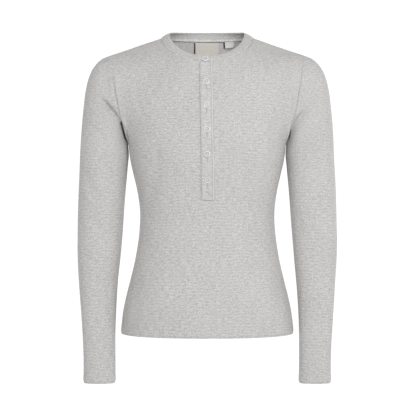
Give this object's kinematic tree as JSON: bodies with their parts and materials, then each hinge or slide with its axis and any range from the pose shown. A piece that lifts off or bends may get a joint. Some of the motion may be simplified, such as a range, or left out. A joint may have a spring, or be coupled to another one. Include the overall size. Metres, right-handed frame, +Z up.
{
  "type": "henley shirt",
  "caption": "Long-sleeved fitted henley shirt in heather grey jersey, filled out as worn with nobody in it, with a lapped neckband and a buttoned placket.",
  "frame": {"origin": "midway between the two high shoulder points, where the neck seam crosses the top of the shoulders and the wearer's shoulders carry the shirt", "axes": "+Z up, +X towards the wearer's left, the front faces -Y"},
  "size_m": [0.5174, 0.2328, 0.7037],
  "materials": {
    "jersey": "matte heather jersey",
    "band": "matte heather jersey, doubled",
    "buttons": "satin",
    "main_label": "smooth woven tape",
    "size_label": "smooth woven tape"
  },
  "bodies": {
    "root": {"front_body": "jersey", "back_body": "jersey", "sleeve_left": "jersey", "sleeve_right": "jersey", "neckband": "band", "placket_over": "band", "placket_under": "band", "button_1": "buttons", "button_2": "buttons", "button_3": "buttons", "button_4": "buttons", "button_5": "buttons", "button_6": "buttons", "label_main": "main_label", "label_size": "size_label"}
  },
  "joints": []
}
